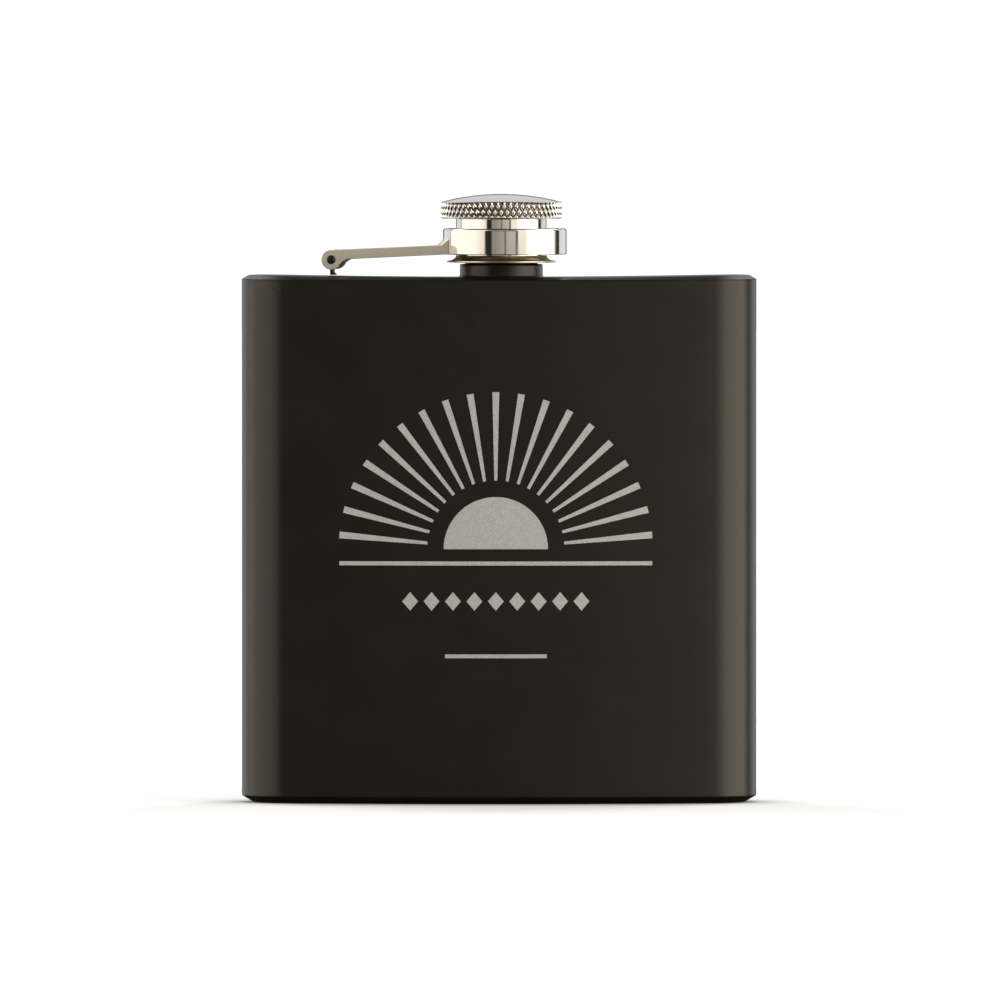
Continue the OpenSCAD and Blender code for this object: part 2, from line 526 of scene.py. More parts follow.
@dataclass(frozen=True)
class Silicone:
    """Soft white silicone with a fine matte skin."""

    name: str = "white_silicone"

    def build(self) -> bpy.types.Material:
        """Return the material."""
        tree = Shading(self.name)
        skin = tree.noise(0.3 * MM, 3.0)
        tone = tree.mix(skin, (0.74, 0.72, 0.68, 1.0), (0.84, 0.82, 0.78, 1.0))
        return tree.finish(
            Base_Color=tone,
            Roughness=0.5 + skin * 0.15,
            Subsurface_Weight=0.2,
            Subsurface_Scale=0.8 * MM,
            Normal=tree.bump(skin, 0.01 * MM),
        )


# ---- Meshes ----


@dataclass(frozen=True)
class Station:
    """One stop on a walk round a shape: a centre and the direction outwards from it."""

    centre: Vector
    outward: Vector


def rounded(corners: Sequence[Point3], steps: int = 4) -> list[Point2]:
    """Round the corners of an open profile.

    Args:
        corners: Points with the radius wanted at each. The first and last keep their place.
        steps: Segments in each arc.

    Returns:
        The profile's points.
    """
    path: list[Point2] = []
    for index, (x, y, radius) in enumerate(corners):
        if radius <= 0 or index in (0, len(corners) - 1):
            path.append((x, y))
            continue
        here = Vector((x, y))
        back = (Vector(corners[index - 1][:2]) - here).normalized()
        ahead = (Vector(corners[index + 1][:2]) - here).normalized()
        half = back.angle(ahead) / 2
        if half > NEARLY_STRAIGHT:
            path.append((x, y))
            continue
        centre = here + (back + ahead).normalized() * (radius / math.sin(half))
        start = here + back * (radius / math.tan(half)) - centre
        end = here + ahead * (radius / math.tan(half)) - centre
        sweep = start.angle(end)
        for step in range(steps + 1):
            share = step / steps
            arm = start * math.sin((1 - share) * sweep) + end * math.sin(share * sweep)
            point = centre + arm / math.sin(sweep)
            path.append((point.x, point.y))
    return path


def loft(
    name: str,
    stations: Sequence[Station],
    profile: Sequence[Point2],
    closed: bool,
    reshape: Callable[[Vector], Vector] | None = None,
    inner: range | None = None,
) -> bpy.types.Object:
    """Carry a profile round a walk of stations.

    Args:
        name: The new object's name.
        stations: The walk, anticlockwise from above.
        profile: Points of distance outwards and height, anticlockwise round the material.
        closed: Whether the profile's last point joins its first.
        reshape: Moves each point, if given.
        inner: Profile segments that take the second material.

    Returns:
        The object, with its doubles merged.
    """
    bm = bmesh.new()
    rings = []
    for station in stations:
        ring = []
        for distance, height in profile:
            flat = station.centre + station.outward * distance
            point = Vector((flat.x, flat.y, height))
            ring.append(bm.verts.new(reshape(point) if reshape else point))
        rings.append(ring)
    last = len(profile) if closed else len(profile) - 1
    for index, ring in enumerate(rings):
        following = rings[(index + 1) % len(rings)]
        for low in range(last):
            high = (low + 1) % len(profile)
            face = bm.faces.new((ring[low], following[low], following[high], ring[high]))
            face.material_index = 1 if inner is not None and low in inner else 0
    return object_from(name, bm)


def object_from(name: str, bm: bmesh.types.BMesh) -> bpy.types.Object:
    """Merge a mesh's doubles and link it as an object at the origin.

    Args:
        name: The object's name.
        bm: The mesh, which is freed.

    Returns:
        The object.
    """
    bmesh.ops.remove_doubles(bm, verts=bm.verts, dist=MERGE)
    bmesh.ops.dissolve_degenerate(bm, edges=bm.edges, dist=MERGE / 5)
    mesh = bpy.data.meshes.new(name)
    bm.to_mesh(mesh)
    bm.free()
    made = bpy.data.objects.new(name, mesh)
    bpy.context.scene.collection.objects.link(made)
    return made


def shade(piece: bpy.types.Object, crease: float = 32.0) -> None:
    """Shade a piece smooth, but for edges sharper than an angle, and keep broad faces true.

    Args:
        piece: The piece.
        crease: The angle, in degrees.
    """
    piece.data.shade_smooth()
    piece.data.set_sharp_from_angle(angle=math.radians(crease))
    weighted = piece.modifiers.new("weighted", "WEIGHTED_NORMAL")
    weighted.mode = "FACE_AREA"
    weighted.keep_sharp = True
    settle(piece)


def settle(piece: bpy.types.Object) -> bpy.types.Object:
    """Turn a piece's live modifiers into plain mesh.

    Args:
        piece: The piece, whose mesh is replaced.

    Returns:
        The same piece.
    """
    graph = bpy.context.evaluated_depsgraph_get()
    mesh = bpy.data.meshes.new_from_object(piece.evaluated_get(graph))
    piece.modifiers.clear()
    piece.data = mesh
    return piece


def cut(piece: bpy.types.Object, tool: bpy.types.Object) -> bpy.types.Object:
    """Cut one solid out of another.

    Args:
        piece: The solid that is kept.
        tool: The solid that is taken away and removed.

    Returns:
        The cut piece.
    """
    modifier = piece.modifiers.new("cut", "BOOLEAN")
    modifier.operation = "DIFFERENCE"
    modifier.solver = "EXACT"
    modifier.object = tool
    settle(piece)
    bpy.data.objects.remove(tool)
    return piece


def round_walk(axis: Vector, count: int) -> list[Station]:
    """Walk once round an upright axis.

    Args:
        axis: A point on the axis.
        count: The number of stations.

    Returns:
        The stations.
    """
    turns = [TURN * i / count for i in range(count)]
    return [Station(axis, Vector((math.cos(a), math.sin(a), 0))) for a in turns]


def turned(
    name: str, axis: Vector, profile: Sequence[Point2], closed: bool = True, count: int = 192
) -> bpy.types.Object:
    """Turn a profile on an upright axis, as on a lathe.

    Args:
        name: The object's name.
        axis: A point on the axis.
        profile: Points of radius and height, anticlockwise round the material.
        closed: Whether the last point joins the first. A solid on the axis stays open.
        count: Segments round the axis.

    Returns:
        The object.
    """
    return loft(name, round_walk(axis, count), profile, closed)


# ---- Geometry Nodes ----


class Recipe(Weave):
    """A Geometry Nodes tree with named inputs, which ends in Realize Instances and Set Material."""

    def __init__(self, name: str, sizes: Mapping[str, float | int]) -> None:
        """Create the tree.

        Args:
            name: The tree's name.
            sizes: The named inputs with their values. Whole numbers become integer inputs.
        """
        super().__init__(bpy.data.node_groups.new(name, "GeometryNodeTree"))
        self.sizes = sizes
        self.identifiers: dict[str, str] = {}
        face = self.tree.interface
        face.new_socket("Geometry", in_out="INPUT", socket_type="NodeSocketGeometry")
        for key, value in sizes.items():
            kind = "NodeSocketInt" if isinstance(value, int) else "NodeSocketFloat"
            socket = face.new_socket(key, in_out="INPUT", socket_type=kind)
            self.identifiers[key] = socket.identifier
        face.new_socket("Geometry", in_out="OUTPUT", socket_type="NodeSocketGeometry")
        self.given = self.node("NodeGroupInput")

    def __getitem__(self, name: str) -> Wire:
        """Return the value of a named input."""
        return self.given[name]

    def position(self) -> tuple[Wire, Wire, Wire]:
        """Return the three parts of each point's position."""
        return self.split(self.node("GeometryNodeInputPosition")["Position"])

    def move(self, geometry: Wire, x: Any, y: Any, z: Any) -> Wire:
        """Return geometry whose points have been put at new places."""
        inputs = {"Geometry": geometry, "Position": self.join(x, y, z)}
        return self.node("GeometryNodeSetPosition", inputs)["Geometry"]

    def close(self, geometry: Wire, material: bpy.types.Material) -> Recipe:
        """End the tree.

        Args:
            geometry: What the tree has made.
            material: The material that it takes.

        Returns:
            The tree, ready for use.
        """
        real = self.node("GeometryNodeRealizeInstances", [geometry])["Geometry"]
        inputs = {"Geometry": real, "Material": material}
        dressed = self.node("GeometryNodeSetMaterial", inputs)["Geometry"]
        self.node("NodeGroupOutput", [dressed])
        return self

    def cook(self, piece: bpy.types.Object) -> bpy.types.Object:
        """Run the tree on a piece and keep the result as plain mesh.

        Args:
            piece: The piece, whose mesh is replaced.

        Returns:
            The same piece.
        """
        modifier = piece.modifiers.new(self.tree.name, "NODES")
        modifier.node_group = self.tree
        for key, value in self.sizes.items():
            modifier[self.identifiers[key]] = value
        return settle(piece)


def empty_piece(name: str) -> bpy.types.Object:
    """Return a linked object with no mesh yet, for a recipe that makes its own."""
    return object_from(name, bmesh.new())


def add_thread(
    piece: bpy.types.Object,
    axis: Vector,
    foot: float,
    radius: float,
    turns: float,
    material: bpy.types.Material,
) -> bpy.types.Object:
    """Add a round-crested screw thread that climbs about an upright axis.

    Args:
        piece: The turned piece that takes the thread.
        axis: A point on the axis.
        foot: The height at which the thread starts.
        radius: The radius of the bead's middle.
        turns: How often it goes round.
        material: The piece's material.

    Returns:
        The same piece.
    """
    sizes = {
        "Axis x": axis.x, "Axis y": axis.y, "Foot": foot, "Radius": radius,
        "Pitch": THREAD_PITCH, "Turns": turns, "Bead": THREAD_BEAD,
        "Turn points": 72, "Bead points": 10, "Run-outs": 14.0,
    }
    tree = Recipe("screw_thread", sizes)
    spiral = tree.node(
        "GeometryNodeCurveSpiral",
        {
            "Resolution": tree["Turn points"],
            "Rotations": tree["Turns"],
            "Start Radius": tree["Radius"],
            "End Radius": tree["Radius"],
            "Height": tree["Turns"] * tree["Pitch"],
        },
    )["Curve"]
    share = tree.node("GeometryNodeSplineParameter")["Factor"]
    run_outs = tree["Run-outs"]
    taper = (share * run_outs).least((1.0 - share) * run_outs).least(1.0)
    x, y, z = tree.position()
    there = tree.move(spiral, x + tree["Axis x"], y + tree["Axis y"], z + tree["Foot"])
    circle = {"Resolution": tree["Bead points"], "Radius": tree["Bead"]}
    ring = tree.node("GeometryNodeCurvePrimitiveCircle", circle)["Curve"]
    inputs = {"Curve": there, "Profile Curve": ring, "Scale": taper, "Fill Caps": True}
    bead = tree.node("GeometryNodeCurveToMesh", inputs)["Mesh"]
    joined = tree.node("GeometryNodeJoinGeometry", [[tree["Geometry"], bead]])
    return tree.close(joined["Geometry"], material).cook(piece)


def knurl_recipe(sizes: Mapping[str, float | int], material: bpy.types.Material) -> Recipe:
    """Build a diamond knurl that presses into the side of a turned piece.

    Args:
        sizes: Axis x, Axis y, Teeth, Diamond, Depth, Low, High and Fade.
        material: The piece's material.

    Returns:
        The recipe.
    """
    tree = Recipe("diamond_knurl", sizes)
    x, y, z = tree.position()
    away_x, away_y = x - tree["Axis x"], y - tree["Axis y"]
    round_share = away_y.bearing(away_x) * (1 / TURN) * tree["Teeth"]
    peak = diamonds(round_share, (z - tree["Low"]) / tree["Diamond"])
    normal_z = tree.split(tree.node("GeometryNodeInputNormal")["Normal"])[2]
    fade = ((z - tree["Low"]) / tree["Fade"]).least((tree["High"] - z) / tree["Fade"])
    side = (1.0 - abs(normal_z) * KNURL_STEEPNESS).most(0.0)
    mask = fade.most(0.0).least(1.0) * side
    shrink = 1.0 - (1.0 - (peak * (1 / KNURL_FLAT)).least(1.0)) * mask * tree["Depth"]
    moved = tree.move(
        tree["Geometry"],
        tree["Axis x"] + away_x * shrink,
        tree["Axis y"] + away_y * shrink,
        z,
    )
    return tree.close(moved, material)


# ---- Places that come from the frame ----


@dataclass(frozen=True)
class Span:
    """A node's box, with the readings that the pieces need."""

    low: Vector
    high: Vector

    @classmethod
    def of(cls, node: str) -> Span:
        """Return the box of a node at rest."""
        low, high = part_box(node)
        return cls(Vector(low), Vector(high))

    @property
    def middle(self) -> Vector:
        """The centre of the box."""
        return (self.low + self.high) / 2

    @property
    def radius(self) -> float:
        """Half the width along X, which is a round piece's radius."""
        return (self.high.x - self.low.x) / 2


@dataclass(frozen=True)
class Plan:
    """The body from above: a strip of constant thickness, bent back, with round ends."""

    middle_y: float
    half: float
    end_x: float
    sweep: float
    front_count: int = 96
    end_count: int = 40

    @classmethod
    def from_frame(cls) -> Plan:
        """Work the plan out from the boxes of the wall and the neck."""
        wall = Span.of("body_wall")
        middle_y = Span.of("neck").middle.y
        half = middle_y - wall.low.y
        return cls(middle_y, half, wall.high.x - half, wall.high.y - wall.low.y - 2 * half)

    @property
    def bend(self) -> float:
        """Radius of the middle line."""
        return (self.end_x**2 + self.sweep**2) / (2 * self.sweep)

    @property
    def end_angle(self) -> float:
        """Angle of the middle line's ends."""
        return math.asin(self.end_x / self.bend)

    @property
    def bend_centre(self) -> Vector:
        """Centre that the strip is bent round."""
        return Vector((0, self.middle_y + self.bend, 0))

    def front_y(self, x: float) -> float:
        """Return the front surface's Y at a distance x from the middle."""
        return self.bend_centre.y - math.sqrt((self.bend + self.half) ** 2 - x**2)

    def walk(self) -> list[Station]:
        """Return stations anticlockwise round the body, from the left end of the front."""
        stations = []
        edge = self.end_angle
        for side in (1, -1):
            for i in range(self.front_count):
                angle = side * edge * (2 * i / self.front_count - 1)
                ray = Vector((math.sin(angle), -math.cos(angle), 0))
                stations.append(Station(self.bend_centre + ray * self.bend, ray * side))
            tip = side * edge
            ray = Vector((math.sin(tip), -math.cos(tip), 0))
            for i in range(self.end_count):
                turn = Matrix.Rotation(math.pi * i / self.end_count, 3, "Z")
                stations.append(Station(self.bend_centre + ray * self.bend, turn @ (ray * side)))
        return stations


def lever_yaw(joints: Iterable[Mapping[str, Any]]) -> float:
    """Return the lever's turn about Z, in radians, which its joint's axis gives."""
    joint = next(joint for joint in joints if joint["name"] == "lever_pivot")
    along = (-Vector(joint["axis"]).normalized()).cross(Vector((0, 0, 1)))
    return math.atan2(along.y, along.x)


@dataclass
class Bench:
    """Hands each finished piece to the frame and reports it."""

    count: int = 0

    def hand_over(
        self,
        piece: bpy.types.Object,
        body: Body,
        slot: Slot,
        materials: Sequence[bpy.types.Material],
        nodes: Sequence[str] = (),
    ) -> None:
        """Dress a piece and give it to its body.

        Args:
            piece: The piece, whose place is in its mesh.
            body: The body that it rides on.
            slot: The record's slot for its finish. Not used.
            materials: Its materials, in the order of its material indices.
            nodes: The nodes that it stands for.
        """
        piece.data.materials.clear()
        for material in materials:
            piece.data.materials.append(material)
        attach(piece, body.value)
        if nodes:
            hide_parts(*nodes)
        self.count += 1
        LOG.info("%s: %d faces, rides on %s", piece.name, len(piece.data.polygons), body.value)


# ---- The flask's body ----


@dataclass
class Shell:
    """The rolled wall and the two pressed plates that close it."""

    plan: Plan
    bench: Bench
    sheet: float = 0.6 * MM
    seam_radius: float = 0.12 * MM
    top_dip: float = 0.4 * MM
    dip_reach: float = 43 * MM
    top_bevel: float = 1.3 * MM
    seam_rise: float = 0.15 * MM
    base_bevel: float = 2.1 * MM
    hole: float = 6.4 * MM
    inner_roll: float = 0.2 * MM
    top_roll: float = 0.9 * MM
    base_roll: float = 0.6 * MM
    heel_roll: float = 0.5 * MM
    seam_land: float = 0.1 * MM
    wall: Span = field(init=False)
    top: Span = field(init=False)
    neck: Span = field(init=False)

    def __post_init__(self) -> None:
        """Read the boxes of the shell's nodes."""
        self.wall = Span.of("body_wall")
        self.top = Span.of("top_plate")
        self.neck = Span.of("neck")

    def dip(self, x: float) -> float:
        """Return how far the top plate has sunk at a distance x from the middle."""
        return self.top_dip * max(0.0, 1 - (x / self.dip_reach) ** 2)

    def sink(self, point: Vector) -> Vector:
        """Lower a point of the top plate by its share of the dip."""
        rim, crown = self.wall.high.z + self.seam_rise, self.top.high.z
        share = max(0.0, (point.z - rim) / (crown - rim))
        point.z -= self.dip(point.x) * share
        return point

    def build_wall(self) -> bpy.types.Object:
        """Return the wall, which is open above and below."""
        half, low = self.plan.half, self.wall.low.z
        high = self.wall.high.z + self.seam_rise
        lip = self.seam_radius
        outer = rounded(
            [(half - self.sheet, low, 0), (half, low, lip), (half, high, lip),
             (half - self.sheet, high, 0)]
        )
        inner = range(len(outer) - 1, len(outer))
        return loft("wall_shell", self.plan.walk(), outer, True, None, inner)

    def build_top(self) -> bpy.types.Object:
        """Return the top plate with its sunken middle and the hole for the neck."""
        half, low, high = self.plan.half, self.wall.high.z + self.seam_rise, self.top.high.z
        inset = half - self.top_bevel
        under = [(0, high - self.sheet), (inset * 0.5, high - self.sheet)]
        rim = rounded(
            [(inset * 0.9, high - self.sheet, 0),
             (inset - self.inner_roll, high - self.sheet, self.inner_roll),
             (half - self.sheet, low, 0), (half, low, self.seam_radius * 0.5),
             (half, low + self.seam_land, self.seam_radius), (inset, high, self.top_roll),
             (inset * 0.85, high, 0)]
        )
        over = [(inset * 0.6, high), (inset * 0.3, high), (0, high)]
        plate = loft("top_pan", self.plan.walk(), under + rim + over, False, self.sink)
        axis = self.neck.middle
        tool = [(0, low), (self.hole, low), (self.hole, high + MM), (0, high + MM)]
        return cut(plate, turned("hole", axis, tool, False, 128))

    def build_base(self) -> bpy.types.Object:
        """Return the base plate."""
        half, high = self.plan.half, self.wall.low.z
        inset = half - self.base_bevel
        outline = rounded(
            [(0, 0, 0), (inset * 0.6, 0, 0), (inset, 0, self.base_roll),
             (half, high - self.seam_land, self.heel_roll), (half, high, 0.0),
             (half - self.sheet, high, 0), (inset - self.seam_rise, self.sheet, self.inner_roll),
             (inset * 0.6, self.sheet, 0), (0, self.sheet, 0)]
        )
        return loft("base_pan", self.plan.walk(), outline, False)

    def build(self, coat: bpy.types.Material, raw: bpy.types.Material) -> None:
        """Build and hand over the three pieces.

        Args:
            coat: The powder coat.
            raw: The bare steel of the wall's inside.
        """
        makers = ((self.build_wall, "body_wall"), (self.build_top, "top_plate"),
                  (self.build_base, "base_plate"))
        for maker, node in makers:
            piece = maker()
            shade(piece, 50)
            self.bench.hand_over(piece, Body.FLASK, Slot.PAINT, [coat, raw], [node])


@dataclass
class Neck:
    """The spout: a plain collar, a screw thread and a rolled pouring lip."""

    shell: Shell
    bench: Bench
    bore: float = 5.5 * MM
    spigot: float = 6.4 * MM
    root: float = 6.62 * MM
    crest: float = 7.0 * MM
    collar_height: float = 2.0 * MM
    weld: float = 0.35 * MM
    collar_roll: float = 0.3 * MM
    root_roll: float = 0.12 * MM
    throat_roll: float = 0.2 * MM
    lip_roll: float = 0.4 * MM
    root_end: float = 2.2 * MM
    lip_start: float = 1.9 * MM
    thread_start: float = 0.9 * MM
    turns: float = 3.1

    def profile(self) -> list[Point2]:
        """Return the neck's section, anticlockwise from the foot of the bore."""
        span = self.shell.neck
        deck = self.shell.top.high.z
        foot = deck - self.shell.dip(span.middle.x) - 0.05 * MM
        collar, lip = span.radius, span.high.z
        return rounded(
            [(self.bore, span.low.z, 0), (self.spigot, span.low.z, 0), (self.spigot, foot, 0),
             (collar + self.weld, foot, 0),
             (collar + 0.02 * MM, foot + self.weld, self.collar_roll),
             (collar, deck + self.collar_height, self.collar_roll),
             (self.root, deck + self.collar_height, self.root_roll),
             (self.root, lip - self.root_end, self.throat_roll),
             (self.spigot, lip - self.lip_start, self.throat_roll),
             (self.spigot, lip, self.lip_roll), (self.bore, lip, self.lip_roll),
             (self.bore, span.low.z + 0.01 * MM, 0)]
        )

    def build(self, coat: bpy.types.Material) -> None:
        """Build and hand over the neck.

        Args:
            coat: The powder coat.
        """
        axis = self.shell.neck.middle
        piece = turned("spout", axis, self.profile())
        foot = self.shell.top.high.z + self.collar_height + self.thread_start
        add_thread(piece, axis, foot, self.crest - THREAD_BEAD, self.turns, coat)
        shade(piece, 40)
        self.bench.hand_over(piece, Body.FLASK, Slot.PAINT, [coat], ["neck"])


# ---- The hinge and the lever ----


@dataclass
class Softened:
    """A copy of a frame node with its edges eased, as a press and a tumbler leave them."""

    node: str
    name: str
    body: Body
    slot: Slot
    ease: float
    crease: float = 38.0
    flatness: float = 1.0

    def build(self, source: bpy.types.Object, bench: Bench, finish: bpy.types.Material) -> None:
        """Copy, merge, ease and hand over the piece.

        Args:
            source: The frame's node.
            bench: Takes the finished piece.
            finish: Its material.
        """
        bm = bmesh.new()
        bm.from_mesh(source.data)
        bmesh.ops.remove_doubles(bm, verts=bm.verts, dist=MERGE * 4)
        flat = math.radians(self.flatness)
        bmesh.ops.dissolve_limit(bm, angle_limit=flat, verts=bm.verts, edges=bm.edges)
        piece = object_from(self.name, bm)
        bevel = piece.modifiers.new("ease", "BEVEL")
        bevel.width = self.ease
        bevel.segments = 2
        bevel.limit_method = "ANGLE"
        bevel.angle_limit = math.radians(self.crease)
        bevel.use_clamp_overlap = True
        settle(piece)
        shade(piece, 34)
        bench.hand_over(piece, self.body, self.slot, [finish], [self.node])


@dataclass
class Ring:
    """The retainer ring: a drawn cup, open below, round the cap's sleeve."""

    bench: Bench
    sheet: float = 0.5 * MM
    hole: float = 9.1 * MM
    edge: float = 0.45 * MM

    def build(self, steel: bpy.types.Material) -> None:
        """Build and hand over the ring.

        Args:
            steel: The polished steel.
        """
        span = Span.of("retainer_ring")
        outer, low, high = span.radius, span.low.z, span.high.z
        inner = outer - self.sheet
        profile = rounded(
            [(inner, low, 0), (inner + 0.05 * MM, low, 0.04 * MM), (outer, low, 0.16 * MM),
             (outer, high, self.edge), (self.hole, high, 0.14 * MM),
             (self.hole, high - self.sheet, 0.1 * MM), (inner, high - self.sheet, 0.2 * MM),
             (inner, low + 0.01 * MM, 0)], 6
        )
        piece = turned("ring", span.middle, profile, True, 256)
        shade(piece, 40)
        self.bench.hand_over(piece, Body.LEVER, Slot.POLISHED, [steel], ["retainer_ring"])


# ---- The cap ----


@dataclass
class Cap:
    """The knurled, domed cap with its threaded sleeve, flared flange and seal."""

    bench: Bench
    wall: float = 0.7 * MM
    dome_radius: float = 42 * MM
    edge: float = 0.35 * MM
    teeth: int = 60
    tooth_points: int = 14
    diamond: float = 2.15 * MM
    knurl_depth: float = 0.4 * MM
    shoulder_drop: float = 0.25 * MM
    tube_inset: float = 1.67 * MM
    tube_step: float = 0.31 * MM
    sleeve_root: float = 7.78 * MM
    thread_crest: float = 7.42 * MM
    thread_start: float = 1.1 * MM
    turns: float = 3.4
    flange_sheet: float = 0.3 * MM
    shell: Span = field(init=False)
    sleeve: Span = field(init=False)
    flange: Span = field(init=False)
    seal: Span = field(init=False)

    def __post_init__(self) -> None:
        """Read the boxes of the cap's nodes."""
        self.shell = Span.of("cap_shell")
        self.sleeve = Span.of("cap_sleeve")
        self.flange = Span.of("cap_flange")
        self.seal = Span.of("cap_seal")

    @property
    def tube(self) -> float:
        """Outer radius of the sleeve's tube, where the flange's flare starts."""
        return self.flange.radius - self.tube_inset

    @property
    def knurl_low(self) -> float:
        """Height at which the knurl starts."""
        return self.shell.low.z + 0.1 * MM

    @property
    def knurl_high(self) -> float:
        """Height at which the knurl ends, at the foot of the dome."""
        return self.dome(self.shell.radius - self.shoulder_drop, 0)[1] - 0.05 * MM

    def dome(self, radius: float, drop: float) -> Point2:
        """Return the dome's point at a radius, at a drop below the outer face."""
        rise = math.sqrt(self.dome_radius**2 - radius**2) - self.dome_radius
        return radius, self.shell.high.z + rise - drop

    def build_shell(self, steel: bpy.types.Material) -> bpy.types.Object:
        """Return the knurled shell."""
        outer, low = self.shell.radius, self.shell.low.z
        shoulder = outer - self.shoulder_drop
        crown = self.dome(shoulder, 0)[1]
        rows, rings = 44, 14
        side_low, side_high = low + self.edge, crown - self.edge
        side = [(outer, side_low + (side_high - side_low) * i / rows) for i in range(rows + 1)]
        lower = rounded(
            [(outer - self.wall, low, 0), (outer, low, self.edge), (outer, side_low + self.edge, 0)]
        )
        top = [self.dome(shoulder * (1 - (i / rings) ** 1.4), 0) for i in range(rings + 1)]
        under = [self.dome((outer - self.wall) * i / 8, self.wall) for i in range(9)]
        brow = [(outer - 0.04 * MM, crown - 0.12 * MM)]
        profile = lower[:-1] + side + brow + top + under
        count = self.teeth * self.tooth_points
        piece = turned("cap_cup", self.shell.middle, profile, True, count)
        sizes = {
            "Axis x": self.shell.middle.x, "Axis y": self.shell.middle.y, "Teeth": self.teeth,
            "Diamond": self.diamond, "Depth": self.knurl_depth / outer,
            "Low": self.knurl_low, "High": self.knurl_high, "Fade": 0.3 * MM,
        }
        return knurl_recipe(sizes, steel).cook(piece)

    def build_sleeve(self, steel: bpy.types.Material) -> bpy.types.Object:
        """Return the sleeve with its brim and its inner thread."""
        skirt, deck = self.sleeve.low.z, self.flange.high.z
        foot_radius = self.tube - self.tube_step
        ceiling, brim = self.seal.high.z, self.sleeve.high.z
        profile = rounded(
            [(0, ceiling, 0), (self.sleeve_root, ceiling, 0.2 * MM),
             (self.sleeve_root, skirt, 0.1 * MM), (foot_radius, skirt, 0.05 * MM),
             (foot_radius, deck, 0), (self.tube, deck, 0), (self.tube, ceiling, 0.15 * MM),
             (self.sleeve.radius, ceiling, 0.1 * MM), (self.sleeve.radius, brim, 0.1 * MM),
             (0, brim, 0)]
        )
        piece = turned("cap_skirt", self.sleeve.middle, profile, False)
        foot, radius = skirt + self.thread_start, self.thread_crest + THREAD_BEAD
        return add_thread(piece, self.sleeve.middle, foot, radius, self.turns, steel)

    def build_flange(self) -> bpy.types.Object:
        """Return the flared washer at the sleeve's foot."""
        low, high, rim = self.flange.low.z, self.flange.high.z, self.flange.radius
        inner = self.tube - self.tube_step
        steps = 12
        flare = []
        for i in range(steps + 1):
            angle = math.pi / 2 * i / steps
            rise = (high - low - self.flange_sheet) * math.cos(angle)
            flare.append((rim - (rim - self.tube) * math.sin(angle), high - rise))
        lip = rounded(
            [(inner, low, 0), (rim, low, 0.13 * MM), (rim, flare[0][1], 0.13 * MM), (*flare[1], 0)]
        )
        return turned("cap_flare", self.flange.middle, lip + flare[2:] + [(inner, high)], True, 192)

    def build_seal(self) -> bpy.types.Object:
        """Return the soft disc."""
        low, high, rim = self.seal.low.z, self.seal.high.z, self.seal.radius
        profile = rounded(
            [(0, low, 0), (rim * 0.62, low, 0), (rim, low, 0.25 * MM), (rim, high, 0.2 * MM),
             (0, high, 0)], 5
        )
        return turned("seal_disc", self.seal.middle, profile, False, 128)

    def build(self, bright: bpy.types.Material, flared: bpy.types.Material,
              silicone: bpy.types.Material) -> None:
        """Build and hand over the cap's pieces.

        Args:
            bright: The polished steel of the sleeve.
            flared: The softer polish of the flange, whose golden colour is a painted reflection of
                the ring above it.
            silicone: The seal's silicone.
        """
        middle, low, high = self.shell.middle, self.knurl_low, self.knurl_high
        knurled = KnurledSteel((middle.x, middle.y), self.teeth, self.diamond, low, high).build()
        for piece, finish, node in (
            (self.build_shell(knurled), knurled, "cap_shell"),
            (self.build_sleeve(bright), bright, "cap_sleeve"),
            (self.build_flange(), flared, "cap_flange"),
        ):
            shade(piece, 42)
            self.bench.hand_over(piece, Body.CAP, Slot.POLISHED, [finish], [node])
        seal = self.build_seal()
        shade(seal)
        self.bench.hand_over(seal, Body.SEAL, Slot.SEAL, [silicone], ["cap_seal"])


# ---- The engraved ornament ----


